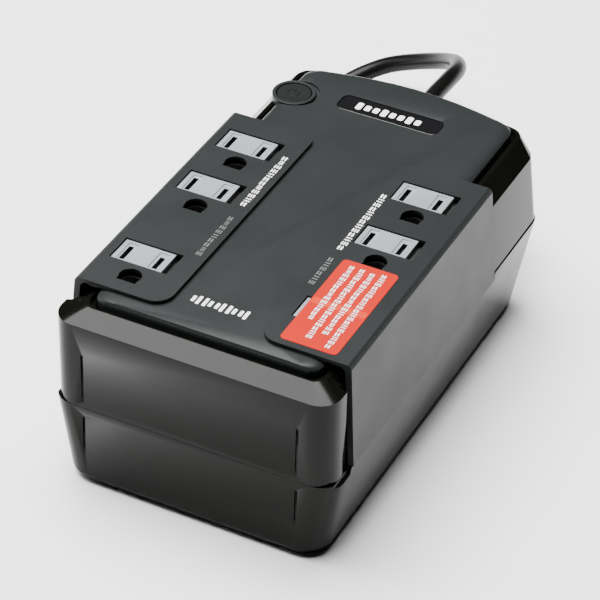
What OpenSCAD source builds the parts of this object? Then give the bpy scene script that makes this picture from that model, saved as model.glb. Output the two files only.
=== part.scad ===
// Compact uninterruptible power supply with six shuttered outlets.
// Units are millimetres. The origin is at the middle of the footprint, on the surface it stands on.
// +X is right, +Y is towards the rear wall with the power cord, +Z is up.

/* [Body] */
// Half of the body's width at the parting line
body_half = 55.4; // [52:0.1:58]
// Half of the body's length
body_reach = 91; // [88:0.5:96]
// Height of the outlet wings' top face
wing_top = 76.5; // [74:0.5:80]
// Height of the deck's top face
deck_top = 75; // [73:0.5:78]
// Height of the roof's outer lower edge
roof_edge = 69.3; // [66:0.1:71]
// Height of the rim round the deck
rim_top = 72; // [71:0.1:73]
// Height of the parting line at the nose
part_front = 34.5; // [32:0.5:36]
// Height of the seam under the wings' cheeks
part_side = 35.7; // [34:0.1:37]
// Height of the parting line at the rear
part_rear = 38.9; // [37:0.1:41]
// Wall thickness of the shells
wall = 2.5; // [2:0.1:3]

/* [Deck] */
// Half of the deck panel's width
deck_half = 42.6; // [40:0.1:44]
// Front edge of the deck panel
deck_front = -80.5; // [-82:0.5:-78]
// Rear edge of the deck panel at its middle
deck_rear = 89.4; // [86:0.1:90]
// How far the rear edge bows out
rear_bow = 4.8; // [0:0.1:8]

/* [Wings] */
// Inner edge of each wing from the middle
wing_inner = 17.5; // [15:0.1:20]
// Front end of the wings at the top
wing_front = -75; // [-77:0.5:-70]
// Rear end of the wings at the top
wing_rear = 40; // [36:0.5:42]
// Thickness of a wing's top plate
wing_plate = 1.4; // [1.2:0.1:1.5]

/* [Outlets] */
// Middle of the left column of outlets
left_outlet_x = -35.8; // [-37:0.1:-33]
// Middle of the right column of outlets
right_outlet_x = 34.5; // [33:0.1:37]
// Distance between the two blade slots of an outlet
blade_pitch = 12.7; // [12.7:0.1:12.7]
// Distance from the blade slots to the ground hole
ground_offset = 11.9; // [11.9:0.1:11.9]
// How far a shutter slides
shutter_travel = 2.1; // [1.8:0.1:2.4]

/* [Controls] */
// Radius of the power button's cap
button_r = 6.4; // [5:0.1:7]
// How far the power button goes down
button_travel = 1; // [0.6:0.1:1.4]
// Radius of the breaker's reset button
reset_r = 3.6; // [3:0.1:4]
// How far the reset button goes in
reset_travel = 2; // [1:0.1:3]

/* [Cord] */
// Diameter of the power cord
cord_d = 7; // [6:0.5:8]
// Height at which the cord leaves the rear wall
cord_exit_z = 45; // [44:1:50]
// Distance of the cord's exit from the middle
cord_exit_x = -10; // [-14:1:0]

/* [Hidden] */
curve_fn = 48;
fit_gap = 0.3;
corner_steps = 6;
bow_steps = 8;

// Outer shape
nose_half = 53.3;
shoulder_half = 51.7;
shoulder_z = 65.9;
rim_half = 46;
rim_width = 1.6;
rim_front = -body_reach + 8;
rim_rear = body_reach - 0.4;
nose_rear = -79.5;
cheek_draft = 1.6;
core_half_low = 52.9;
core_half_high = 50.3;
foot_half = 49.3;
bottom_half = 50.6;
bottom_z = 0.9;
bottom_edge_z = 4;
bottom_rear = body_reach - 4;
floor_top = 3.4;
opening_half = rim_half - rim_width;
deck_seat = 70;

// Outlets: blade-slot rows from front to rear, and their shutter
outlet_columns = [left_outlet_x, right_outlet_x];
outlet_rows = [-54.1, -7.2, 22.7];
blade_half = blade_pitch/2;
slot_w = 1.8;
slot_long = 8.2;
slot_short = 6.8;
shutter_len = 19.6;
shutter_front = -5.1;
shutter_rear = 6.7;
shutter_rest = 0.1 - shutter_travel;
shutter_top = wing_top - 0.6;
shutter_ledge = 1.2;
shutter_depth = 1.3;
window_len = shutter_len + shutter_travel + 1;
ground_r = 4.1;
ground_flat = 3.3;
ground_flat_half = 3.7;
block_top = 73.2;
block_bottom = 60.2;
block_inner = 21.5;
block_outer = 44;
block_flange = 48.8;
block_front = -72.5;
block_rear = 34.5;

// Controls
plate_size = [41.6, 10];
plate_corner = 3;
button_x = -39;
button_y = 64;
button_top = deck_top + 0.1;
collar_r = 8.3;
collar_top = deck_top + 0.45;
board_z = 62;
board_thick = 1.6;
board_top = board_z + board_thick;
board_posts = [[-24, 50], [19, 50], [-20, 78], [30, 78]];
reset_x = 24;
reset_z = 52;

// Inside
battery_size = [79, 98, 56];
battery_y = -33;
battery_lift = 0.1;
tab_y = battery_y + battery_size.y/2;
core_x = -10;
core_y = 53;
stack = 30;
screw_posts = [[-44.8, -76], [44.8, -76], [-44, 73], [44, 73]];
screw_head_r = 3;
screw_r = 1.25;
feet = [[-46, -56], [46, -56], [-46, 52], [46, 52]];
foot_size = [3.6, 18, 1.4];
door_half = 41;
door_front = -84;
door_rear = 21;
door_z = 0.95;

// Cord
hank_x = -31.5;
hank_y = 122.7;
hank_run = 46;
hank_fold = 26;
hank_inner_fold = 19;
hank_rise = 1;
hank_height = 3*cord_d;
boot_len = 32;
wall_y = 91;
boot_end = wall_y + boot_len;
route = [
    [cord_exit_x, boot_end, cord_exit_z], [cord_exit_x, 132, cord_exit_z], [cord_exit_x, 140, 44.5],
    [-10.2, 147, 43.8], [-11, 154, 42.2], [-13.2, 161, 39.8], [-17, 168, 36.4], [-22.5, 174.5, 32],
    [-29, 180, 27.2], [-37, 184.5, 22.2], [-46, 187.3, 17.4], [-55, 187.6, 13.2], [-63, 185.3, 9.8],
    [-70, 180.6, 7.2], [-75.4, 174, 5.6], [-78.8, 166, 4.8], [-80.3, 157, 4.5], [-80.5, 148, 4.5],
    [-80.5, 140, 4.5], [-80.5, hank_y + 9, 4.5]];
tail = [
    [-80.5, hank_y + 1, 24.8], [-79.4, 115, 25.5], [-75.2, 106.4, 25.5], [-68, 100, 25.5], [-59, 97, 25.5],
    [-50, 96.7, 25.7], [-44, 97.6, 26.3], [-38, 99.2, 27.4], [-32, 101, 29], [-26, 102.8, 30.9],
    [-20, 104.1, 32.5], [-13.5, 104.6, 33.4]];
plug_x = tail[len(tail) - 1].x;
plug_y = tail[len(tail) - 1].y;
plug_z = tail[len(tail) - 1].z;
plug_len = 34;
plug_half_w = 12.5;
plug_half_h = plug_z - hank_rise - hank_height;

// ---------- helpers ----------

function arc_points(cx, cy, r, from, to) =
    [for (i = [0:corner_steps]) let (a = from + (to - from)*i/corner_steps) [cx + r*cos(a), cy + r*sin(a)]];

// A rounded rectangle whose rear edge bows out.
function outline(half, front, rear, r_front, r_rear, bow) =
    let (flat = half - r_rear)
    concat(
        arc_points(half - r_front, front + r_front, r_front, -90, 0),
        arc_points(flat, rear - bow - r_rear, r_rear, 0, 78),
        [for (i = [1:bow_steps - 1]) let (x = flat*(1 - 2*i/bow_steps)) [x, rear - bow*pow(x/flat, 2)]],
        arc_points(-flat, rear - bow - r_rear, r_rear, 102, 180),
        arc_points(-half + r_front, front + r_front, r_front, 180, 270));

// A solid through rings of [z, outline], each with the same number of points.
module loft(rings) {
    n = len(rings[0][1]);
    top = len(rings) - 1;
    points = [for (ring = rings) for (p = ring[1]) [p.x, p.y, ring[0]]];
    sides = [for (k = [0:top - 1]) for (i = [0:n - 1])
        let (a = k*n + i, b = k*n + (i + 1)%n) each [[a, a + n, b + n], [a, b + n, b]]];
    polyhedron(points, concat(sides, [[for (i = [0:n - 1]) i]], [[for (i = [n - 1:-1:0]) top*n + i]]));
}

// An XZ profile carried along Y.
module along_y(from, to) {
    translate([0, to, 0])
        rotate([90, 0, 0])
            linear_extrude(to - from)
                children();
}

// A YZ profile carried along X.
module along_x(from, to) {
    translate([from, 0, 0])
        rotate([90, 0, 90])
            linear_extrude(to - from)
                children();
}

module mirrored() {
    children();
    mirror([1, 0, 0])
        children();
}

module box(from, to) {
    translate(from)
        cube(to - from);
}

module rounded_rect(w, l, r) {
    union() {
        square([w - 2*r, l], center = true);
        square([w, l - 2*r], center = true);
        for (x = [-1, 1], y = [-1, 1])
            translate([x*(w/2 - r), y*(l/2 - r)])
                circle(r, $fn = curve_fn);
    }
}

function unit(v) = v/norm(v);
function path_dir(p, i) = unit(p[min(i + 1, len(p) - 1)] - p[max(i - 1, 0)]);

// A round tube along a path, its end faces square to the given end directions.
module swept(path, first_dir, last_dir) {
    sides = 10;
    n = len(path);
    points = [for (i = [0:n - 1])
        let (d = i == 0 ? first_dir : i == n - 1 ? last_dir : path_dir(path, i),
             u = unit(cross(d, [0, 0, 1])), v = cross(u, d))
        for (k = [0:sides - 1]) path[i] + cord_d/2*(u*cos(360*k/sides) + v*sin(360*k/sides))];
    skin = [for (i = [0:n - 2]) for (k = [0:sides - 1])
        let (a = i*sides + k, b = i*sides + (k + 1)%sides) each [[a, b, b + sides], [a, b + sides, a + sides]]];
    polyhedron(points, concat(skin, [[for (k = [sides - 1:-1:0]) k]], [[for (k = [0:sides - 1]) (n - 1)*sides + k]]));
}

module stadium(run, r) {
    square([run, 2*r], center = true);
    for (x = [-run/2, run/2])
        translate([x, 0])
            circle(r, $fn = curve_fn);
}

module helix_stand_in(r, height) {
    wire = 0.45;
    turns = 5;
    for (i = [0:turns - 1])
        translate([0, 0, wire + i*(height - 2*wire)/(turns - 1)])
            rotate_extrude($fn = 24)
                translate([r, 0])
                    square(2*wire, center = true);
    for (x = [-r, r])
        translate([x - wire, -wire, 0])
            cube([2*wire, 2*wire, height]);
}

// ---------- shells ----------

module lower_outer() {
    loft([
        [bottom_z, outline(foot_half, -body_reach + 1.6, bottom_rear - 1.5, 10, 12, rear_bow)],
        [bottom_edge_z, outline(bottom_half, -body_reach, bottom_rear, 10, 12, rear_bow)],
        [part_rear, outline(body_half, -body_reach, body_reach, 8, 9, rear_bow)]]);
}

module lower_inner() {
    loft([
        [floor_top, outline(bottom_half - wall, -body_reach + wall, bottom_rear - wall, 7.5, 9.5, rear_bow)],
        [part_rear + 1, outline(body_half - wall, -body_reach + wall, body_reach - wall, 5.5, 6.5, rear_bow)]]);
}

module lower_shell() {
    post_r = 4.6;
    notch_rear = nose_rear + 2.4;
    notch_top = part_front - 1.2;
    color("#1b1b1a")
        difference() {
            union() {
                difference() {
                    lower_outer();
                    lower_inner();
                }
                for (p = screw_posts)
                    translate([p.x, p.y, floor_top - 1])
                        cylinder(r = post_r, h = part_front - floor_top, $fn = curve_fn);
                box([-39, door_rear + 3, floor_top - 1], [39, door_rear + 5, 12]);
            }
            box([-60, -100, part_front - 0.1], [60, notch_rear, 60]);
            box([-60, notch_rear - 0.1, part_side - 0.1], [60, wing_rear + cheek_draft + 0.4, 60]);
            mirrored()
                along_y(-100, notch_rear)
                    polygon([[nose_half, 40], [nose_half, notch_top], [body_half + 0.4, notch_top - 2.4],
                        [70, notch_top - 2.4], [70, 40]]);
            battery_window();
            front_grooves(14.5, 31);
            for (p = screw_posts)
                translate([p.x, p.y, 0])
                    screw_bore(screw_r + 0.4);
            for (f = feet)
                translate([f.x, f.y, 0])
                    foot(0.15);
            for (x = [-27, 36])
                box([x - 2, -body_reach - 1, 0], [x + 2, -body_reach + 2.6, 2.6]);
        }
}

module battery_window() {
    ledge = 1.3;
    box([-door_half - 0.2, door_front - 0.2, -1], [door_half + 0.2, door_rear + 0.2, 2.2]);
    box([-door_half + ledge, door_front + ledge, -1], [door_half - ledge, door_rear - ledge, floor_top + 1]);
}

module foot(grow) {
    translate([0, 0, grow > 0 ? -1 : 0])
        linear_extrude(foot_size.z + (grow > 0 ? 1.1 : 0))
            rounded_rect(foot_size.x + 2*grow, foot_size.y + 2*grow, foot_size.x/2 + grow - 0.1);
}

module cord_bore() {
    translate([cord_exit_x, 80, cord_exit_z])
        rotate([-90, 0, 0])
            cylinder(r = 5.3, h = 30, $fn = curve_fn);
}

module screw_bore(r) {
    translate([0, 0, -1])
        cylinder(r = r, h = 80, $fn = curve_fn);
    translate([0, 0, -1])
        cylinder(r = screw_head_r + 0.3, h = 5, $fn = curve_fn);
}

module front_grooves(from, to) {
    groove_x = 41;
    groove_w = 1;
    mirrored()
        along_x(groove_x - groove_w/2, groove_x + groove_w/2)
            polygon([[-body_reach - 1, from - 2], [-body_reach - 1, to + 2], [-body_reach + 0.8, to - 2],
                [-body_reach + 0.8, from + 2]]);
}

module upper_outer() {
    loft([
        [part_front, outline(nose_half, -body_reach, nose_rear + 2, 8, 1, 0.01)],
        [roof_edge, outline(nose_half, -body_reach, nose_rear + 2, 8, 1, 0.01)],
        [rim_top, outline(rim_half, rim_front, nose_rear + 2, 5, 0.4, 0.01)]]);
    loft([
        [part_side + 0.1, outline(body_half, nose_rear, body_reach, 0.5, 9, rear_bow)],
        [shoulder_z, outline(shoulder_half, nose_rear, body_reach, 0.5, 9, rear_bow)],
        [rim_top, outline(rim_half, nose_rear, rim_rear, 0.5, 6, rear_bow)]]);
}

module cheek_pockets() {
    mirrored()
        intersection() {
            along_y(nose_rear, wing_rear + 5)
                polygon([[core_half_low, part_front - 2], [core_half_high, roof_edge - 0.4], [core_half_high, 90], [80, 90],
                    [80, part_front - 2]]);
            along_x(0, 90)
                polygon([[nose_rear, 20], [nose_rear, 90], [wing_rear + fit_gap, 90],
                    [wing_rear + fit_gap, wing_top], [wing_rear + cheek_draft + fit_gap, part_side], [wing_rear + cheek_draft + fit_gap, 20]]);
        }
}

module deck_opening() {
    ledge = 1.6;
    linear_extrude(90)
        polygon(outline(opening_half - ledge, rim_front + 0.6 + ledge, deck_rear - 1.4, 4, 5, rear_bow));
    translate([0, 0, deck_seat])
        linear_extrude(20)
            polygon(outline(opening_half, rim_front + 0.6, deck_rear + 0.4, 5, 6, rear_bow));
}

module upper_inner() {
    loft([
        [part_front - 2, outline(core_half_low - wall, -body_reach + wall, body_reach - wall, 6, 6.5, rear_bow)],
        [roof_edge - 2.2, outline(core_half_high - wall, -body_reach + wall, body_reach - wall, 6, 6.5, rear_bow)],
        [roof_edge - 1.2, outline(core_half_high - wall - 2, -body_reach + 7, body_reach - wall, 5, 6.5, rear_bow)]]);
}

module upper_shell() {
    color("#141414")
        difference() {
            union() {
                difference() {
                    upper_outer();
                    upper_inner();
                    deck_opening();
                }
                for (p = screw_posts)
                    translate([p.x, p.y, part_front - 0.5])
                        cylinder(r = 3.8, h = roof_edge - part_front - 0.5, $fn = curve_fn);
                for (x = [-33, -5, 22])
                    box([x - 2.5, rim_front + 0.3, deck_seat - 1], [x + 2.5, deck_front - 0.4, deck_seat + 1.2]);
            }
            box([-60, wing_rear + cheek_draft + 0.3, 0], [60, 100, part_rear + 0.1]);
            cheek_pockets();
            mirrored()
                box([block_inner - 0.6, block_front - 0.6, 60], [block_outer + 0.3, block_rear + 0.6, 90]);
            cord_bore();
            front_grooves(36.5, 58);
            rear_vents();
            breaker_bore();
            collar_bore(collar_r + 0.3);
            for (p = screw_posts)
                translate([p.x, p.y, 0])
                    cylinder(r = screw_r, h = 58, $fn = curve_fn);
        }
}

module rear_vents() {
    for (i = [0:5])
        box([-38 + 5*i, 70, 52], [-36 + 5*i, 110, 64]);
}

module breaker_bore() {
    translate([reset_x, 70, reset_z])
        rotate([-90, 0, 0])
            cylinder(r = 5.6, h = 40, $fn = curve_fn);
}

module collar_bore(r) {
    translate([button_x, button_y, board_z])
        cylinder(r = r, h = 20, $fn = curve_fn);
}

module deck_panel() {
    scoop_depth = 0.8;
    skirt = 70.2;
    // Each ring of the rolled edge: how far below the top, how far in at the sides, how far in at the rear
    rolled_edge = [[deck_top - skirt, 0, 0], [1.8, 0, 0], [1.25, 0.4, 0.2], [0.65, 1.4, 0.6], [0.2, 3.1, 1.2],
        [0, 5.5, 1.7]];
    color("#4a4d4c")
        difference() {
            union() {
                difference() {
                    loft([for (ring = rolled_edge)
                        [deck_top - ring[0],
                            outline(deck_half - ring[1], deck_front + ring[2]/8, deck_rear - ring[2], 5, 6, rear_bow)]]);
                    loft([
                        [skirt - 1, outline(deck_half - 2, deck_front + 2, deck_rear - 2.4, 4, 5, rear_bow)],
                        [deck_top - 2, outline(deck_half - 2, deck_front + 2, deck_rear - 2.4, 4, 5, rear_bow)]]);
                }
                for (p = board_posts)
                    translate([p.x, p.y, board_top])
                        cylinder(r = 2.6, h = deck_top - 1 - board_top, $fn = curve_fn);
            }
            mirrored()
                box([block_inner - 0.6, block_front - 0.6, 60], [60, block_rear + 3, 90]);
            collar_bore(collar_r + 0.1);
            translate([button_x + 0.8, button_y + 0.7, deck_top - scoop_depth])
                cylinder(r = collar_r + 0.4, h = 5, $fn = curve_fn);
            translate([-1, 67.9, deck_top - 0.7])
                linear_extrude(2)
                    rounded_rect(plate_size.x, plate_size.y, plate_corner);
            for (p = board_posts)
                translate([p.x, p.y, board_top - 1])
                    cylinder(r = 1, h = 8, $fn = 24);
        }
}

// ---------- wings, shutters and sockets ----------

// At rest a shutter sits at the left end of its window on both wings.
module shutter_window() {
    start = shutter_rest - shutter_len/2 - 0.3;
    box([start, shutter_front - 0.2, 60], [start + window_len, shutter_rear + 0.2, 90]);
}

module ground_hole(from, to, r) {
    translate([0, -ground_offset, from])
        linear_extrude(to - from)
            union() {
                intersection() {
                    circle(r, $fn = curve_fn);
                    translate([-2*r, -ground_flat])
                        square(4*r);
                }
                translate([-ground_flat_half, -ground_flat])
                    square([2*ground_flat_half, ground_flat]);
            }
}

// The wing seen from above: rounded inner corners, cut square on the outside.
module wing_plan() {
    front_r = 7;
    rear_r = 5;
    linear_extrude(90)
        union() {
            translate([wing_inner + front_r, wing_front + front_r])
                circle(front_r, $fn = curve_fn);
            translate([wing_inner + rear_r, wing_rear - rear_r])
                circle(rear_r, $fn = curve_fn);
            polygon([[wing_inner, wing_front + front_r], [wing_inner + front_r, wing_front + front_r],
                [wing_inner + front_r, wing_front - 5], [90, wing_front - 5], [90, wing_rear + 5],
                [wing_inner + rear_r, wing_rear + 5], [wing_inner + rear_r, wing_rear - rear_r],
                [wing_inner, wing_rear - rear_r]]);
        }
}

// A top plate and a cheek in one, without its holes, for the right side.
module wing_blank() {
    plate_under = wing_top - wing_plate;
    cheek = 2.2;
    intersection() {
        along_y(wing_front - 5, wing_rear + 5)
            polygon([[wing_inner, wing_top], [51, wing_top], [52, wing_top - 0.5], [52.6, wing_top - 1.6],
                [body_half, part_side + 0.1], [body_half - cheek, part_side + 0.1], [50.6, roof_edge + 0.3],
                [50.2, plate_under - 1.4], [48.8, plate_under], [wing_inner, plate_under]]);
        along_x(0, 90)
            polygon([[wing_front, wing_top], [wing_rear, wing_top], [wing_rear + cheek_draft, part_side],
                [wing_front - cheek_draft, part_side]]);
        wing_plan();
    }
}

module outlet_cuts(column) {
    for (y = outlet_rows)
        translate([column, y, 0]) {
            shutter_window();
            ground_hole(60, 90, ground_r);
        }
}

module left_wing() {
    color("#4a4d4c")
        difference() {
            mirror([1, 0, 0])
                wing_blank();
            outlet_cuts(left_outlet_x);
        }
}

module right_wing() {
    color("#4a4d4c")
        difference() {
            wing_blank();
            outlet_cuts(right_outlet_x);
        }
}

// A dust shutter: a guide flange below, a raised middle and a shallow hollow round each blade slot.
module shutter(column, row) {
    ledge_z = wing_top - wing_plate - 0.15;
    hollow = 0.35;
    hollow_in = 4.2;
    hollow_out = 8;
    margin = 1.2;
    translate([column + shutter_rest, outlet_rows[row], 0])
        color("#b9bec2")
            difference() {
                union() {
                    box([-shutter_len/2, shutter_front, ledge_z - shutter_depth], [shutter_len/2, shutter_rear, shutter_top]);
                    box([-shutter_len/2, shutter_front - shutter_ledge, ledge_z - shutter_depth],
                        [shutter_len/2, shutter_rear + shutter_ledge, ledge_z]);
                }
                mirrored()
                    box([hollow_in, shutter_front + margin, shutter_top - hollow],
                        [hollow_out, shutter_rear - margin, shutter_top + 1]);
                for (slot = [[-blade_half, slot_long], [blade_half, slot_short]])
                    box([slot[0] - slot_w/2, -slot[1]/2, 60], [slot[0] + slot_w/2, slot[1]/2, 90]);
            }
}

module shutter_left_1() {
    shutter(left_outlet_x, 2);
}

module shutter_left_2() {
    shutter(left_outlet_x, 1);
}

module shutter_left_3() {
    shutter(left_outlet_x, 0);
}

module shutter_right_1() {
    shutter(right_outlet_x, 2);
}

module shutter_right_2() {
    shutter(right_outlet_x, 1);
}

module shutter_right_3() {
    shutter(right_outlet_x, 0);
}

// Leaf springs that push the shutters back to the left.
module shutter_springs() {
    start = shutter_len/2 + shutter_rest + shutter_travel + 0.3;
    color("#b8bcc0")
        for (x = outlet_columns, y = outlet_rows)
            translate([x + start, y, 0]) {
                box([0, -3, block_top], [0.3, 5, block_top + 1.2]);
                box([-0.2, -3, block_top], [0.3, -1.5, block_top + 0.3]);
            }
}

module socket_block(side, column) {
    color("#262626")
        difference() {
            mirror([side < 0 ? 1 : 0, 0, 0]) {
                box([block_inner, block_front, block_bottom], [block_outer, block_rear, block_top]);
                box([block_inner, block_front, rim_top + 0.2], [block_flange, block_rear, block_top]);
            }
            for (y = outlet_rows)
                translate([column, y, 0]) {
                    for (slot = [[-blade_half, slot_long], [blade_half, slot_short]])
                        box([slot[0] - slot_w/2 - 0.3, -slot[1]/2 - 0.3, block_bottom + 3],
                            [slot[0] + slot_w/2 + 0.3, slot[1]/2 + 0.3, 90]);
                    ground_hole(block_bottom + 3, 90, ground_r);
                }
            for (x = [-blade_half, blade_half])
                translate([column + x, 0, 0])
                    box([-1.2, block_front + 3, block_bottom - 1], [1.2, block_rear - 3, block_bottom + 3.1]);
            translate([column, 0, 0])
                box([-1.2, block_front + 3, block_bottom - 1], [1.2, block_rear - 14, block_bottom + 3.1]);
        }
}

module left_socket_block() {
    socket_block(-1, left_outlet_x);
}

module right_socket_block() {
    socket_block(1, right_outlet_x);
}

// A bus bar in its channel, with a pair of spring leaves up each blade slot.
module bus(x, slot_l) {
    translate([x, 0, 0]) {
        box([-0.9, block_front + 3.4, block_bottom + 0.2], [0.9, block_rear - 3.4, block_bottom + 1.4]);
        for (y = outlet_rows, s = [-1, 1])
            translate([s*0.75, y, 0])
                box([-0.15, -slot_l/2, block_bottom + 1.3], [0.15, slot_l/2, block_bottom + 9]);
    }
}

module neutral_contacts() {
    color("#c9a54a")
        for (x = outlet_columns)
            bus(x - blade_half, slot_long - 0.4);
}

module line_contacts() {
    color("#c9a54a")
        for (x = outlet_columns)
            bus(x + blade_half, slot_short - 0.4);
}

module ground_contacts() {
    color("#c9a54a")
        for (x = outlet_columns)
            translate([x, 0, 0]) {
                box([-0.9, block_front + 3.2, block_bottom + 0.2], [0.9, block_rear - 14.4, block_bottom + 1.4]);
                for (y = outlet_rows)
                    translate([0, y - ground_offset, 0]) {
                        box([-0.9, -0.9, block_bottom + 1.3], [0.9, 0.9, block_bottom + 3.4]);
                        translate([0, 0, block_bottom + 3.2])
                            difference() {
                                cylinder(r = 2.9, h = 6, $fn = curve_fn);
                                translate([0, 0, 0.6])
                                    cylinder(r = 2.45, h = 8, $fn = curve_fn);
                            }
                    }
            }
}

module orange_label() {
    color("#ff4a12")
        translate([34.9, -47.6, wing_top])
            linear_extrude(0.15)
                rounded_rect(21.2, 49.6, 1.8);
}

module nameplate() {
    color("#141414")
        translate([-1, 67.9, deck_top - 0.65])
            linear_extrude(0.45)
                rounded_rect(plate_size.x - 0.6, plate_size.y - 0.6, plate_corner - 0.3);
}

// ---------- power button ----------

module power_button() {
    stem_r = 1.6;
    skirt = 3.6;
    color("#2a2a2a")
        translate([button_x, button_y, 0])
            difference() {
                union() {
                    translate([0, 0, button_top - 1.6])
                        cylinder(r = button_r, h = 1.6, $fn = curve_fn);
                    translate([0, 0, button_top - skirt])
                        difference() {
                            cylinder(r = button_r, h = skirt - 1.5, $fn = curve_fn);
                            translate([0, 0, -1])
                                cylinder(r = button_r - 1, h = skirt, $fn = curve_fn);
                        }
                    translate([0, 0, board_top + 5.6])
                        cylinder(r = stem_r, h = button_top - 1 - board_top - 5.6, $fn = curve_fn);
                }
                translate([0, 0, button_top - 0.25])
                    power_symbol(1);
            }
}

module power_symbol(h) {
    ring_r = 2.5;
    line_w = 0.5;
    difference() {
        cylinder(r = ring_r, h = h, $fn = curve_fn);
        translate([0, 0, -1])
            cylinder(r = ring_r - line_w, h = h + 2, $fn = curve_fn);
        box([-1, 0, -1], [1, ring_r + 1, h + 1]);
    }
    box([-line_w/2, 0.4, 0], [line_w/2, ring_r + 0.7, h]);
}

module button_collar() {
    sleeve_r = 7.6;
    color("#3a3c3b")
        translate([button_x, button_y, 0])
            difference() {
                union() {
                    translate([0, 0, board_top])
                        cylinder(r = sleeve_r, h = collar_top - board_top, $fn = curve_fn);
                    translate([0, 0, collar_top - 4])
                        cylinder(r = collar_r, h = 4, $fn = curve_fn);
                }
                translate([0, 0, board_top - 1])
                    cylinder(r = button_r + 0.35, h = 20, $fn = curve_fn);
            }
}

module button_spring() {
    color("#b8bcc0")
        translate([button_x, button_y, board_top + 3.4])
            helix_stand_in(2.4, 5.1);
}

module tact_switch() {
    color("#303234")
        translate([button_x, button_y, board_top]) {
            translate([-3, -3, 0])
                cube([6, 6, 3.4]);
            translate([0, 0, 3])
                cylinder(r = 1.5, h = 1.2, $fn = 24);
        }
}

module status_light() {
    color("#59c46a")
        translate([button_x, button_y + 4.8, board_top]) {
            cylinder(r = 1.3, h = 3, $fn = 24);
            translate([0, 0, 3])
                sphere(r = 1.3, $fn = 24);
        }
}

// ---------- electronics ----------

module main_board() {
    color("#1f5a34")
        difference() {
            box([-45.6, 46, board_z], [45.6, 81, board_top]);
            for (p = board_posts)
                translate([p.x, p.y, 0])
                    cylinder(r = 1.3, h = 90, $fn = 24);
            for (x = [-1, 1])
                translate([x*46, 73, 0])
                    cylinder(r = 6.5, h = 90, $fn = curve_fn);
        }
}

module relays() {
    color("#2b4f8c")
        for (x = [24, 36])
            box([x, 46, board_z - 15.5], [x + 10, 62, board_z]);
}

module capacitors() {
    color("#22262c") {
        translate([6, 52, board_top])
            cylinder(r = 4, h = 7, $fn = curve_fn);
        translate([30, 66, board_top])
            cylinder(r = 3, h = 6, $fn = curve_fn);
    }
}

module heat_sink() {
    color("#b4b8ba")
        translate([27.5, 66, board_z]) {
            box([0, 0, -14], [12, 1.6, 0]);
            for (x = [0:2.6:11])
                box([x, 1.5, -14], [x + 1, 6, 0]);
        }
}

module power_transistors() {
    color("#202020")
        for (x = [28, 34])
            box([x, 62.9, board_z - 12], [x + 5, 65.9, board_z]);
}

module buzzer() {
    color("#181818")
        translate([-10, 60, board_top])
            difference() {
                cylinder(r = 5.5, h = 6, $fn = curve_fn);
                translate([0, 0, 5])
                    cylinder(r = 1, h = 2, $fn = 24);
            }
}

module fuse() {
    color("#c8d4d8")
        translate([4, 64, board_top + 2.7])
            rotate([0, 90, 0]) {
                cylinder(r = 2.2, h = 16, $fn = 24);
                for (z = [0, 12])
                    translate([0, 0, z])
                        cylinder(r = 2.6, h = 4, $fn = 24);
            }
}

module transformer_core() {
    width = 60;
    height = 50;
    window_w = 9;
    window_h = 30;
    color("#6a6c6e")
        translate([core_x, core_y, floor_top + 1.7])
            difference() {
                box([-width/2, -stack/2, 0], [width/2, stack/2, height]);
                for (s = [-1, 1])
                    translate([s*15, 0, height/2])
                        box([-window_w/2, -stack, -window_h/2], [window_w/2, stack, window_h/2]);
            }
}

module transformer_winding() {
    color("#b5692c")
        translate([core_x, core_y, floor_top + 1.7 + 25])
            difference() {
                box([-19, -stack/2 - 8, -14.6], [19, stack/2 + 8, 14.6]);
                box([-10.7, -stack/2 - 0.2, -20], [10.7, stack/2 + 0.2, 20]);
                for (s = [-1, 1])
                    box([s*24.4 - 5, -stack/2 - 0.1, -20], [s*24.4 + 5, stack/2 + 0.1, 20]);
            }
}

module transformer_bracket() {
    color("#a8aaac")
        translate([core_x, core_y, floor_top]) {
            difference() {
                box([-31.6, -6, 0], [31.6, 6, 53]);
                box([-30.2, -7, 1.6], [30.2, 7, 51.7]);
            }
            for (s = [-1, 1])
                box([s*34 - 3, -6, 0], [s*34 + 3, 6, 1.5]);
        }
}

module battery() {
    color("#3c4046")
        union() {
            translate([-battery_size.x/2, battery_y - battery_size.y/2, floor_top + battery_lift])
                cube(battery_size);
            translate([-battery_size.x/2 + 6, battery_y, floor_top + battery_lift])
                box([0, battery_size.y/2 - 1, 12], [battery_size.x - 12, battery_size.y/2 + 2.5, 30]);
        }
}

module battery_tabs() {
    color("#c0c4c8")
        for (x = [-31, 31])
            box([x - 2.4, tab_y, 44], [x + 2.4, tab_y + 6, 44.8]);
}

module tab_connectors() {
    color("#b03028")
        for (x = [-31, 31])
            difference() {
                box([x - 4, tab_y + 1, 42.4], [x + 4, tab_y + 12, 46.4]);
                box([x - 2.5, tab_y, 43.9], [x + 2.5, tab_y + 6.1, 44.9]);
            }
}

module battery_door() {
    ledge = 1.5;
    color("#1b1b1a")
        difference() {
            union() {
                box([-door_half, door_front, door_z], [door_half, door_rear, 2.1]);
                box([-door_half + ledge, door_front + ledge, door_z], [door_half - ledge, door_rear - ledge, floor_top]);
            }
            for (y = [-72:5:-52])
                box([-15, y, 0], [15, y + 2, 1.8]);
        }
}

module rubber_feet() {
    color("#2e2e2e")
        for (f = feet)
            translate([f.x, f.y, 0])
                foot(0);
}

module housing_screws() {
    color("#9a9ea2")
        for (p = screw_posts)
            translate([p.x, p.y, 0])
                difference() {
                    union() {
                        translate([0, 0, 2])
                            cylinder(r = screw_head_r, h = 2, $fn = 24);
                        translate([0, 0, 3.9])
                            cylinder(r = screw_r, h = 46, $fn = 24);
                    }
                    box([-0.4, -2, 1], [0.4, 2, 2.9]);
                    box([-2, -0.4, 1], [2, 0.4, 2.9]);
                }
}

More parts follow.
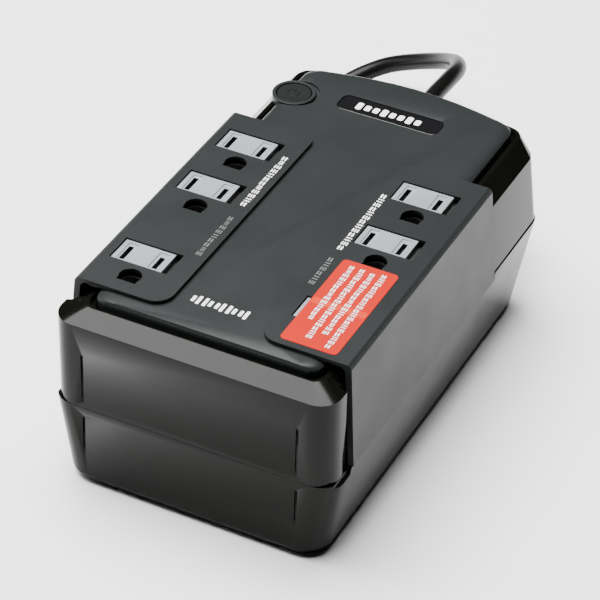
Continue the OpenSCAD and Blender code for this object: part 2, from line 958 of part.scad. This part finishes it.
module board_screws() {
    color("#9a9ea2")
        for (p = board_posts)
            translate([p.x, p.y, board_z]) {
                translate([0, 0, -1.4])
                    cylinder(r = 2.2, h = 1.4, $fn = 24);
                translate([0, 0, -0.1])
                    cylinder(r = 1, h = 7, $fn = 24);
            }
}

module bracket_screws() {
    color("#9a9ea2")
        for (s = [-1, 1])
            translate([core_x + s*34, core_y, floor_top + 1.5]) {
                cylinder(r = 2.2, h = 1.4, $fn = 24);
            }
}

// ---------- rear wall ----------

module breaker_body() {
    depth = 16;
    color("#202224")
        translate([reset_x, wall_y - 1, reset_z])
            rotate([-90, 0, 0])
                difference() {
                    union() {
                        translate([0, 0, -depth])
                            cylinder(r = 5.3, h = depth, $fn = curve_fn);
                        translate([0, 0, 0.3])
                            cylinder(r = 7, h = 0.7, $fn = curve_fn);
                        translate([0, 0, -1])
                            cylinder(r = 5.3, h = 1.5, $fn = curve_fn);
                    }
                    translate([0, 0, -10])
                        cylinder(r = reset_r + 0.4, h = 20, $fn = curve_fn);
                }
}

module reset_button() {
    color("#101010")
        translate([reset_x, wall_y - 6, reset_z])
            rotate([-90, 0, 0])
                cylinder(r = reset_r, h = 6, $fn = curve_fn);
}

module reset_spring() {
    color("#b8bcc0")
        translate([reset_x, wall_y - 10.8, reset_z])
            rotate([-90, 0, 0])
                helix_stand_in(2.2, 2.6);
}

// ---------- cord ----------

module strain_relief() {
    rib_count = 5;
    color("#1a1a1a")
        translate([cord_exit_x, wall_y, cord_exit_z])
            rotate([-90, 0, 0])
                difference() {
                    union() {
                        translate([0, 0, -6])
                            cylinder(r = 5, h = 7, $fn = curve_fn);
                        cylinder(r1 = 6.2, r2 = 4.3, h = boot_len, $fn = curve_fn);
                        translate([0, 0, -8])
                            cylinder(r = 7, h = 2.2, $fn = curve_fn);
                    }
                    for (i = [0:rib_count - 1])
                        translate([0, 0, 5 + 5*i])
                            difference() {
                                cylinder(r = 9, h = 1.6, $fn = curve_fn);
                                translate([0, 0, -1])
                                    cylinder(r = 3.9, h = 4, $fn = curve_fn);
                            }
                }
}

module power_cord() {
    color("#1a1a1a")
        swept(route, [0, 1, 0], [0, -1, 0]);
}

module cord_hank() {
    color("#1a1a1a")
        translate([hank_x, hank_y, hank_rise])
            difference() {
                linear_extrude(hank_height)
                    stadium(hank_run, hank_fold + cord_d/2);
                translate([0, 0, -1])
                    linear_extrude(hank_height + 2)
                        stadium(hank_run, hank_inner_fold - cord_d/2);
            }
}

module hank_tie() {
    half_w = 6;
    gap = 0.05;
    strap = 0.9;
    inner = hank_inner_fold - cord_d/2 - gap;
    outer = hank_fold + cord_d/2 + gap;
    top = hank_rise + hank_height + gap;
    color("#202020")
        translate([hank_x + 14, hank_y, 0])
            difference() {
                box([-half_w, inner - strap, hank_rise - gap - strap], [half_w, outer + strap, top + strap]);
                box([-half_w - 1, inner, hank_rise - gap], [half_w + 1, outer, top]);
            }
}

module cord_tail() {
    color("#1a1a1a")
        swept(tail, [0, -1, 0], [1, 0, 0]);
}

module plug_body() {
    color("#1a1a1a")
        translate([plug_x, plug_y, plug_z])
            rotate([0, 90, 0])
                difference() {
                    union() {
                        cylinder(r1 = 4.6, r2 = 7, h = 12, $fn = curve_fn);
                        translate([0, 0, 10])
                            linear_extrude(plug_len - 10)
                                rounded_rect(2*plug_half_h, 2*plug_half_w, 4);
                    }
                    for (y = [-1, 1], z = [14:3:23])
                        translate([0, y*plug_half_w, z])
                            box([-plug_half_h, -0.6, 0], [plug_half_h, 0.6, 1.2]);
                }
}

module plug_blades() {
    blade_len = 17.5;
    color("#c8b070")
        translate([plug_x + plug_len, plug_y, plug_z])
            for (y = [-1, 1])
                box([-1, y*blade_half - 0.75, -1.2], [blade_len, y*blade_half + 0.75, 5.2]);
}

module plug_ground_pin() {
    pin_len = 20.5;
    color("#c8b070")
        translate([plug_x + plug_len - 1, plug_y, plug_z - 6])
            rotate([0, 90, 0])
                cylinder(r = 2.4, h = pin_len, $fn = curve_fn);
}

lower_shell();
upper_shell();
deck_panel();
left_wing();
right_wing();
shutter_left_1();
shutter_left_2();
shutter_left_3();
shutter_right_1();
shutter_right_2();
shutter_right_3();
shutter_springs();
left_socket_block();
right_socket_block();
neutral_contacts();
line_contacts();
ground_contacts();
orange_label();
nameplate();
power_button();
button_collar();
button_spring();
tact_switch();
status_light();
main_board();
relays();
capacitors();
heat_sink();
power_transistors();
buzzer();
fuse();
transformer_core();
transformer_winding();
transformer_bracket();
battery();
battery_tabs();
tab_connectors();
battery_door();
rubber_feet();
housing_screws();
board_screws();
bracket_screws();
breaker_body();
reset_button();
reset_spring();
strain_relief();
power_cord();
cord_hank();
hank_tie();
cord_tail();
plug_body();
plug_blades();
plug_ground_pin();
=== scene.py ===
"""Looks of a compact uninterruptible power supply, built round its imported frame. Metres, +Z up."""
import math

import bmesh
import bpy
from mathutils import Matrix, Vector


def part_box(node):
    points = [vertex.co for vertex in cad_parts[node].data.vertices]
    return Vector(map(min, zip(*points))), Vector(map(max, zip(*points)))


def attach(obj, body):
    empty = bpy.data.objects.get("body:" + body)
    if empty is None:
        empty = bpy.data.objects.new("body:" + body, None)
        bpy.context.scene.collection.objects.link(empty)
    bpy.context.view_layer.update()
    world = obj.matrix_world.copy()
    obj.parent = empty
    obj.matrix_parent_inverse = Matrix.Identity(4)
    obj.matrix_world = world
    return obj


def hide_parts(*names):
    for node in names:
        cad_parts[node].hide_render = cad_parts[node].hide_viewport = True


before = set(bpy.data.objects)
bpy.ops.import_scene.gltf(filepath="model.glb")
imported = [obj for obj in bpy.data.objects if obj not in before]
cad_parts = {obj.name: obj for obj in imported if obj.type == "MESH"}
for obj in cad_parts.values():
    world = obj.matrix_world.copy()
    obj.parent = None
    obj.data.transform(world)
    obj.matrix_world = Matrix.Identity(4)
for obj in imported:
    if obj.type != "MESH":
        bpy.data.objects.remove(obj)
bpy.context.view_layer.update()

MM = 0.001
HOUSING = "housing"
CREASE = math.radians(32)  # edges sharper than this stay crisp
FLAT = math.radians(1)  # triangles this close to one plane are merged


# ---------- camera ----------

CAMERA_AZIMUTH = math.radians(25.93)
CAMERA_ELEVATION = math.radians(37.39)
CAMERA_ROLL = math.radians(1.38)
CAMERA_TARGET = (1.3, -9.6, 41.5)  # mm
CAMERA_DISTANCE = 1.0012
CAMERA_LENS = 167.72


def make_camera():
    """A long lens held high at the front right, rolled a little."""
    level = math.cos(CAMERA_ELEVATION)
    back = Vector((
        math.sin(CAMERA_AZIMUTH) * level,
        -math.cos(CAMERA_AZIMUTH) * level,
        math.sin(CAMERA_ELEVATION)))
    camera = bpy.data.objects.new("camera", bpy.data.cameras.new("camera"))
    camera.data.sensor_width = 36
    camera.data.lens = CAMERA_LENS
    camera.data.clip_start = 0.05
    look = back.to_track_quat("Z", "Y").to_matrix().to_4x4()
    camera.matrix_world = look @ Matrix.Rotation(CAMERA_ROLL, 4, "Z")
    camera.location = Vector(CAMERA_TARGET) * MM + back * CAMERA_DISTANCE
    bpy.context.scene.collection.objects.link(camera)
    bpy.context.scene.camera = camera


make_camera()


# ---------- materials ----------

DRIFT_SCALE = 22
WEAR_SCALE = 60
GRAIN_DEPTH = 0.00008
COAT_ROUGHNESS = 0.12


def new_material(name):
    mat = bpy.data.materials.new(name)
    mat.use_nodes = True
    nodes = mat.node_tree.nodes
    shader = nodes["Principled BSDF"]
    return mat, nodes, mat.node_tree.links, shader


def noise(nodes, links, scale, detail=3.0, stretch=(1, 1, 1)):
    coords = nodes.new("ShaderNodeTexCoord")
    mapping = nodes.new("ShaderNodeMapping")
    mapping.inputs["Scale"].default_value = stretch
    tex = nodes.new("ShaderNodeTexNoise")
    tex.inputs["Scale"].default_value = scale
    tex.inputs["Detail"].default_value = detail
    links.new(coords.outputs["Object"], mapping.inputs["Vector"])
    links.new(mapping.outputs["Vector"], tex.inputs["Vector"])
    return tex.outputs["Fac"]


def ramp(nodes, links, source, low, high, start=0.3, end=0.7):
    node = nodes.new("ShaderNodeValToRGB")
    node.color_ramp.elements[0].position = start
    node.color_ramp.elements[0].color = low
    node.color_ramp.elements[1].position = end
    node.color_ramp.elements[1].color = high
    links.new(source, node.inputs["Fac"])
    return node.outputs["Color"]


def grey(v):
    return (v, v, v, 1)


def plastic(name, colour, rough, grain=0.0, grain_scale=1500, spread=0.12, specular=0.5, coat=0.0,
            stretch=(1, 1, 1), ior=1.5):
    """Moulded plastic: slow colour drift, patchy roughness and a fine moulded grain.

    The black housing pieces have a low ior, which keeps their dark faces dark.
    """
    mat, nodes, links, shader = new_material(name)
    dark = tuple(c * (1 - spread) for c in colour) + (1,)
    light = tuple(min(1, c * (1 + spread)) for c in colour) + (1,)
    drift = noise(nodes, links, DRIFT_SCALE)
    links.new(ramp(nodes, links, drift, dark, light), shader.inputs["Base Color"])
    wear = noise(nodes, links, WEAR_SCALE, 6, stretch)
    smooth, dull = grey(rough * 0.86), grey(min(1, rough * 1.14))
    links.new(ramp(nodes, links, wear, smooth, dull), shader.inputs["Roughness"])
    shader.inputs["Specular IOR Level"].default_value = specular
    shader.inputs["IOR"].default_value = ior
    shader.inputs["Coat Weight"].default_value = coat
    shader.inputs["Coat Roughness"].default_value = COAT_ROUGHNESS
    if grain:
        bump = nodes.new("ShaderNodeBump")
        bump.inputs["Strength"].default_value = grain
        bump.inputs["Distance"].default_value = GRAIN_DEPTH
        links.new(noise(nodes, links, grain_scale, 2, stretch), bump.inputs["Height"])
        links.new(bump.outputs["Normal"], shader.inputs["Normal"])
    return mat


def metal(name, colour, rough, stretch=(1, 1, 1)):
    mat = plastic(name, colour, rough, 0.25, 900, 0.06, stretch=stretch)
    mat.node_tree.nodes["Principled BSDF"].inputs["Metallic"].default_value = 1.0
    return mat


def ink_and_highlight_paint(name, colour, rough=0.5):
    """Screen-printed ink, slightly uneven; the same flat paint also gives the embossed marks' painted
    highlight.
    """
    return plastic(name, colour, rough, 0.3, 3000, 0.04)


# name, colour, roughness, grain, grain scale, colour spread, specular level, coat
SHELL = plastic("shell_gloss_black", (0.0030, 0.0030, 0.0023), 0.13, 0.04, 700, 0.15, 0.65,
                ior=1.18)
SHELL_LOW = plastic("shell_satin_black", (0.0034, 0.0034, 0.0026), 0.20, 0.08, 900, 0.15, 0.95,
                    ior=1.13)
DECK = plastic("deck_grained_charcoal", (0.0150, 0.0166, 0.0166), 0.32, 0.40, 2600, 0.06, 1.0,
               ior=1.145)
SHUTTER = plastic("shutter_grey", (0.200, 0.216, 0.228), 0.42, 0.25, 2200, 0.04, 0.4)
BUTTON = plastic("button_black", (0.009, 0.0095, 0.0095), 0.34, 0.25, 2400, 0.08, ior=1.2)
# black plastic of the inner parts, and also the painted shade on the shutters' slot walls
BLACK_AND_SLOT_SHADE = plastic("inner_black_and_slot_shade", (0.012, 0.012, 0.0125), 0.5, 0.3, 1500, 0.1)
PLATE = plastic("nameplate_gloss", (0.006, 0.006, 0.0065), 0.1, 0.02, 500, 0.1, 0.6, 0.4)
ORANGE = plastic("label_orange", (0.40, 0.0062, 0.0), 0.5, 0.06, 800, 0.04, 0.12)
# a lighter orange band across the glossy label: painted sheen
LABEL_SHEEN_PAINT = plastic("label_sheen_paint", (0.52, 0.035, 0.012), 0.2, 0.03, 60, 0.03, 0.6)
WHITE_INK = ink_and_highlight_paint("ink_white", (0.80, 0.81, 0.80))
# lighter grey on moulded lettering of the deck's own colour: painted highlight for the light on its
# relief
EMBOSS_PAINTED_HIGHLIGHT = ink_and_highlight_paint("emboss_painted_highlight", (0.075, 0.078, 0.078))
RUBBER = plastic("foot_rubber", (0.02, 0.02, 0.02), 0.8, 0.5, 1800, 0.1, 0.3)
CORD = plastic("cord_pvc", (0.0035, 0.0035, 0.0032), 0.33, 0.2, 1300, 0.1, 0.6, ior=1.2)
BRASS = metal("blade_brass", (0.80, 0.60, 0.28), 0.25)
# socket contacts darkened far below bright bronze: painted shade for the black socket holes
BRONZE_PAINTED_SHADE = metal("contact_bronze_painted_shade", (0.10, 0.075, 0.045), 0.5)
STEEL = metal("bright_steel", (0.62, 0.62, 0.62), 0.28)
IRON = metal("lamination_iron", (0.22, 0.23, 0.24), 0.5, (1, 1, 30))
ALUMINIUM = metal("sink_aluminium", (0.66, 0.67, 0.68), 0.35)
BOARD = plastic("board_green", (0.01, 0.085, 0.03), 0.35, 0.3, 400, 0.25)
RELAY = plastic("relay_blue", (0.02, 0.07, 0.24), 0.4, 0.2)
BATTERY = plastic("battery_case", (0.035, 0.038, 0.045), 0.5, 0.4, 900, 0.1)
TAPE = plastic("winding_tape", (0.45, 0.17, 0.04), 0.35, 0.5, 500, 0.15, stretch=(1, 1, 12))
RED = plastic("connector_red", (0.40, 0.02, 0.015), 0.4, 0.2)
LAMP = plastic("lamp_green", (0.08, 0.45, 0.12), 0.15, 0.05)
GLASS = plastic("fuse_glass", (0.55, 0.6, 0.6), 0.08, 0.02)


# ---------- pieces ----------

def add_piece(name, mesh, material, body=HOUSING):
    piece = bpy.data.objects.new(name, mesh)
    bpy.context.scene.collection.objects.link(piece)
    mesh.materials.append(material)
    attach(piece, body)
    return piece


def finished(node, material, body=HOUSING, edge=0.3, merge=True):
    """The CAD node's own shape with edges rounded by edge mm, in place of the raw solid."""
    mesh = bpy.data.meshes.new(node + "_finish")
    bm = bmesh.new()
    bm.from_mesh(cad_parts[node].data)
    bmesh.ops.remove_doubles(bm, verts=bm.verts, dist=1e-6)
    if merge:
        bmesh.ops.dissolve_limit(bm, angle_limit=FLAT, verts=bm.verts, edges=bm.edges)
    for face in bm.faces:
        face.smooth = True
    bm.to_mesh(mesh)
    bm.free()
    mesh.set_sharp_from_angle(angle=CREASE)
    piece = add_piece(node + "_finish", mesh, material, body)
    bevel = piece.modifiers.new("edge", "BEVEL")
    bevel.width = edge * MM
    bevel.segments = 3
    bevel.limit_method = "ANGLE"
    bevel.angle_limit = CREASE
    bevel.harden_normals = True
    bevel.use_clamp_overlap = True
    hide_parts(node)
    return piece


def paint_shade_below(piece, height, material):
    """Painted shade: a second material on every face lower than a height in millimetres."""
    piece.data.materials.append(material)
    for face in piece.data.polygons:
        if face.center.z < height * MM:
            face.material_index = 1


def dress(node, material):
    """Gives its material to a CAD node that keeps its own shape."""
    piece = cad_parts[node]
    for slot in piece.material_slots:
        slot.material = material
    if not piece.material_slots:
        piece.data.materials.append(material)


finished("upper_shell", SHELL, edge=0.5)
finished("lower_shell", SHELL_LOW, edge=0.5)
finished("battery_door", SHELL_LOW, "battery_door")
finished("deck_panel", DECK, edge=0.35)
finished("left_wing", DECK, edge=0.3)
finished("right_wing", DECK, edge=0.3)
finished("button_collar", DECK, edge=0.5)
finished("power_button", BUTTON, "power_button", 0.12)
finished("nameplate", PLATE, edge=0.15)
finished("orange_label", ORANGE, edge=0.03)
SHUTTER_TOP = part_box("shutter_left_1")[1][2] / MM
SLOT_SHADE_DEPTH = 0.37  # painted shade: the slots' walls are painted black from this far below the shutter's top
for side in ("left", "right"):
    for place in (1, 2, 3):
        shutter = f"shutter_{side}_{place}"
        shutter_piece = finished(shutter, SHUTTER, shutter, 0.12, merge=False)
        # the grey shutters' slot walls get black paint as painted shade inside the slots
        paint_shade_below(shutter_piece, SHUTTER_TOP - SLOT_SHADE_DEPTH, BLACK_AND_SLOT_SHADE)
    finished(f"{side}_socket_block", BLACK_AND_SLOT_SHADE, edge=0.2)
finished("breaker_body", BLACK_AND_SLOT_SHADE, edge=0.3)
finished("reset_button", BUTTON, "reset_button", 0.5)
finished("rubber_feet", RUBBER, edge=0.3)
finished("strain_relief", CORD, edge=0.25)
finished("plug_body", CORD, edge=0.6)
finished("plug_blades", BRASS, edge=0.3)
finished("plug_ground_pin", BRASS, edge=0.8)
finished("hank_tie", BLACK_AND_SLOT_SHADE, edge=0.2)
finished("battery", BATTERY, edge=1.0)
INSIDE = {
    # the socket contacts carry painted shade: their bronze is darkened to look black in the holes
    BRONZE_PAINTED_SHADE: ["neutral_contacts", "line_contacts", "ground_contacts"],
    STEEL: ["shutter_springs", "button_spring", "reset_spring", "transformer_bracket",
            "housing_screws", "board_screws", "bracket_screws", "battery_tabs"],
    IRON: ["transformer_core"],
    TAPE: ["transformer_winding"],
    BOARD: ["main_board"],
    RELAY: ["relays"],
    BLACK_AND_SLOT_SHADE: ["tact_switch", "buzzer", "power_transistors", "capacitors"],
    ALUMINIUM: ["heat_sink"],
    RED: ["tab_connectors"],
    LAMP: ["status_light"],
    GLASS: ["fuse"],
}
for material, nodes in INSIDE.items():
    for node in nodes:
        dress(node, material)


# ---------- cord ----------

# All in millimetres. The cord arches out of the rear wall, comes down at the left and goes into
# a tied hank that stands behind the body. Its far end runs along the hank's top to the plug.
CORD_D = 7.0
EXIT = (-10.0, 91.0, 45.0)
BOOT_END = 123.0
HANK = Vector((-27.5, 122.7, 1.0))  # the middle of its underside
HANK_RUN = 42.0
OUTER_FOLD = 26.0
INNER_FOLD = 19.0
LOOP_STEPS = 36
TRACKS = [(0, OUTER_FOLD), (0, INNER_FOLD), (1, INNER_FOLD), (1, OUTER_FOLD),
          (2, INNER_FOLD), (2, OUTER_FOLD), (3, OUTER_FOLD)]  # layer and fold of each loop
ROUTE = [
    (-10, BOOT_END, 45), (-10, 132, 45), (-10, 140, 44.5),
    (-10.2, 147, 43.8), (-11, 154, 42.2), (-13.2, 161, 39.8), (-17, 168, 36.4),
    (-22.5, 174.5, 32), (-29, 180, 27.2), (-37, 184.5, 22.2), (-46, 187.3, 17.4),
    (-55, 187.6, 13.2), (-62, 185.0, 9.8), (-67.4, 180.2, 7.2), (-71.2, 173.6, 5.6),
    (-73.4, 166, 4.8), (-74.3, 157, 4.5), (-74.5, 148, 4.5), (-74.5, 140, 4.5),
    (-74.5, 131.7, 4.5)]
TAIL = [
    (-73.2, 115, 25.5), (-69.4, 107, 25.5), (-63.2, 101, 25.5), (-56.8, 97.8, 25.5),
    (-50, 96.7, 25.7), (-44, 97.6, 26.3), (-38, 99.2, 27.4), (-32, 101, 29), (-26, 102.8, 30.9),
    (-20, 104.1, 32.5), (-13.5, 104.6, 33.4)]


def hank_point(turn, fold):
    """A point on one loop, for a turn from 0 to 1: from the left end, counterclockwise from above."""
    bend = math.pi * fold
    along = turn * 2 * (HANK_RUN + bend)
    left = HANK.x - HANK_RUN / 2
    right = HANK.x + HANK_RUN / 2

    def on_fold(middle, angle):
        return middle + fold * math.cos(angle), HANK.y + fold * math.sin(angle)

    if along < bend / 2:
        return on_fold(left, math.pi + along / fold)
    along -= bend / 2
    if along < HANK_RUN:
        return left + along, HANK.y - fold
    along -= HANK_RUN
    if along < bend:
        return on_fold(right, -math.pi / 2 + along / fold)
    along -= bend
    if along < HANK_RUN:
        return right - along, HANK.y + fold
    return on_fold(left, math.pi / 2 + (along - HANK_RUN) / fold)


def hank_points():
    """Six loops, two wide and three high, each one changing track late in its turn."""
    points = []
    for (low, fold_a), (high, fold_b) in zip(TRACKS, TRACKS[1:]):
        for i in range(LOOP_STEPS):
            turn = i / LOOP_STEPS
            change = min(1.0, max(0.0, (turn - 0.6) / 0.38))
            ease = change * change * (3 - 2 * change)
            x, y = hank_point(turn, fold_a + (fold_b - fold_a) * ease)
            points.append((x, y, HANK.z + CORD_D * (0.5 + low + (high - low) * ease)))
    left_end = HANK.x - HANK_RUN / 2 - OUTER_FOLD
    return points + [(left_end, HANK.y, HANK.z + CORD_D * 3.5)]


def cord_piece(name, points):
    curve = bpy.data.curves.new(name, "CURVE")
    curve.dimensions = "3D"
    curve.bevel_depth = CORD_D / 2 * MM
    curve.bevel_resolution = 5
    curve.use_fill_caps = True
    spline = curve.splines.new("POLY")
    spline.points.add(len(points) - 1)
    for knot, point in zip(spline.points, points):
        knot.co = (*(Vector(point) * MM), 1)
    spline.use_smooth = True
    piece = bpy.data.objects.new(name, curve)
    bpy.context.scene.collection.objects.link(piece)
    curve.materials.append(CORD)
    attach(piece, HOUSING)
    return piece


def smooth_path(points, per_span):
    """Catmull-Rom points through the given ones, per_span of them for each."""
    pts = [Vector(p) for p in points]
    out = []
    for i in range(len(pts) - 1):
        a = pts[max(i - 1, 0)]
        b, c = pts[i], pts[i + 1]
        d = pts[min(i + 2, len(pts) - 1)]
        for k in range(per_span):
            t = k / per_span
            out.append(0.5 * ((2 * b) + (c - a) * t + (2 * a - 5 * b + 4 * c - d) * t * t
                              + (3 * b - a - 3 * c + d) * t ** 3))
    return out + [pts[-1]]


cord = cord_piece("mains_cord", smooth_path([EXIT, *ROUTE] + hank_points() + TAIL, 2))
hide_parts("power_cord", "cord_hank", "cord_tail")


# ---------- printed marks, painted highlight and painted sheen ---

WING_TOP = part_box("right_wing")[1][2] / MM
DECK_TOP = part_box("deck_panel")[1][2] / MM
LABEL_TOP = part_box("orange_label")[1][2] / MM
PLATE_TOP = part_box("nameplate")[1][2] / MM
MARK_THICK = 0.05


def bars(name, rects, z, material, thick=MARK_THICK):
    """Thin rounded bars, of ink and of painted highlight and sheen. Each rect is (centre x, centre y,
    width, length) in millimetres.
    """
    bm = bmesh.new()
    for cx, cy, w, h in rects:
        r = min(w, h) * 0.3
        outline = []
        for sx, sy, start in ((1, 1, 0), (-1, 1, 90), (-1, -1, 180), (1, -1, 270)):
            for k in range(4):
                a = math.radians(start + 30 * k)
                outline.append((cx + sx * (w / 2 - r) + r * math.cos(a),
                                cy + sy * (h / 2 - r) + r * math.sin(a)))
        under, over = ([bm.verts.new((x * MM, y * MM, level * MM)) for x, y in outline]
                       for level in (z, z + thick))
        bm.faces.new(over)
        bm.faces.new(list(reversed(under)))
        for i, lower in enumerate(under):
            j = (i + 1) % len(under)
            bm.faces.new((lower, under[j], over[j], over[i]))
    mesh = bpy.data.meshes.new(name)
    bm.to_mesh(mesh)
    bm.free()
    add_piece(name, mesh, material)


def glyph_run(x, rear, front, width, pitch, seed):
    """A column of small marks, for print and for embossed lettering: each cell holds two or three
    plain parallel strokes, no letters.
    """
    rects = []
    cell = pitch * 0.78
    y = rear
    step = 0
    while y > front:
        kind = (step * seed + step // 3) % 4
        if kind == 0:
            rects += [(x + width * shift, y, width * 0.26, cell) for shift in (-0.3, 0.15)]
        elif kind == 1:
            rects += [(x, y + cell * shift, width * 0.9, cell * 0.24) for shift in (-0.32, 0.32)]
        elif kind == 2:
            rects += [(x + width * shift, y, width * 0.2, cell * 0.9) for shift in (-0.36, 0.0, 0.36)]
        else:
            rects += [(x, y + cell * shift, width * 0.7, cell * 0.2) for shift in (-0.38, 0.0, 0.38)]
        y -= pitch
        step += 1
    return rects


LEFT_PRINT_X = -21.2
RIGHT_PRINT_X = 20.4
bars("left_wing_print", glyph_run(LEFT_PRINT_X, 21.5, -11.8, 2.6, 2.9, 3), WING_TOP, WHITE_INK)
bars("right_wing_print", glyph_run(RIGHT_PRINT_X, 17.2, -18.7, 2.6, 2.9, 5), WING_TOP, WHITE_INK)
# the embossed lettering is drawn as flat grey paint: painted highlight on the relief
bars("left_wing_embossed_highlight", glyph_run(LEFT_PRINT_X, -20.5, -45, 2.3, 2.9, 3), WING_TOP, EMBOSS_PAINTED_HIGHLIGHT)
bars("right_wing_embossed_highlight", glyph_run(RIGHT_PRINT_X, -25.5, -42, 2.3, 2.9, 5), WING_TOP, EMBOSS_PAINTED_HIGHLIGHT)

# five pairs of strokes across the deck's front, in two heights
RATING = [
    (-11.6 + 4.5 * block + 2.05 * stroke, -65.2, 1.25, 4.6 if (block + stroke) % 2 else 3.2)
    for block in range(5) for stroke in range(2)]
bars("rating_mark", RATING, DECK_TOP, WHITE_INK)

# eight blocks along the nameplate
BADGE = [(-13.6 + 3.4 * i, 67.9, 2.3, 3.4 if i % 3 else 4.6) for i in range(8)]
bars("badge_mark", BADGE, PLATE_TOP, WHITE_INK)

LABEL_LINES = []
for x, rear, front, seed in ((29.0, -26.5, -60.0, 3), (33.0, -26.5, -69.0, 5),
                             (37.0, -27.0, -63.0, 7), (41.0, -26.0, -70.5, 5)):
    LABEL_LINES += glyph_run(x, rear, front, 2.3, 2.4, seed)
bars("label_print", LABEL_LINES, LABEL_TOP, WHITE_INK)
# a lighter band across the label: painted sheen on its glossy strip
bars("label_painted_sheen_strip", [(34.9, -48.6, 20.6, 3.4)], LABEL_TOP, LABEL_SHEEN_PAINT, thick=0.02)


# ---------- studio ----------

FLOOR_HALF = 6
BAND_TOP = 0.12
BAND_STRENGTH = 0.9
CEILING_START = 0.38
CEILING_STRENGTH = 0.12


def make_floor():
    bm = bmesh.new()
    bmesh.ops.create_grid(bm, x_segments=2, y_segments=2, size=FLOOR_HALF)
    mesh = bpy.data.meshes.new("floor")
    bm.to_mesh(mesh)
    bm.free()
    floor = bpy.data.objects.new("floor", mesh)
    bpy.context.scene.collection.objects.link(floor)
    mesh.materials.append(
        plastic("floor_white", (0.93, 0.93, 0.93), 0.8, spread=0.01, specular=0.1))


def area_light(name, place, target, size, power):
    """A square light at a place, facing a target."""
    light = bpy.data.lights.new(name, "AREA")
    light.shape = "SQUARE"
    light.size = size
    light.energy = power
    lamp = bpy.data.objects.new(name, light)
    lamp.location = place
    lamp.rotation_euler = (Vector(target) - Vector(place)).to_track_quat("-Z", "Y").to_euler()
    bpy.context.scene.collection.objects.link(lamp)


def make_world():
    """A pale band of backdrop near the horizon that fades to a dim ceiling."""
    world = bpy.data.worlds.new("studio")
    bpy.context.scene.world = world
    world.use_nodes = True
    nodes, links = world.node_tree.nodes, world.node_tree.links
    coords = nodes.new("ShaderNodeTexCoord")
    split = nodes.new("ShaderNodeSeparateXYZ")
    height = nodes.new("ShaderNodeMapRange")
    height.inputs["From Min"].default_value = BAND_TOP
    height.inputs["From Max"].default_value = CEILING_START
    height.inputs["To Min"].default_value = BAND_STRENGTH
    height.inputs["To Max"].default_value = CEILING_STRENGTH
    links.new(coords.outputs["Generated"], split.inputs["Vector"])
    links.new(split.outputs["Z"], height.inputs["Value"])
    links.new(height.outputs["Result"], nodes["Background"].inputs["Strength"])


make_floor()
make_world()
area_light("key_overhead", (-0.36, 0.12, 1.55), (0, 0, 0), 1.4, 120)
area_light("card_left", (-1.4, -0.2, 0.7), (0, 0, 0.04), 0.9, 8)
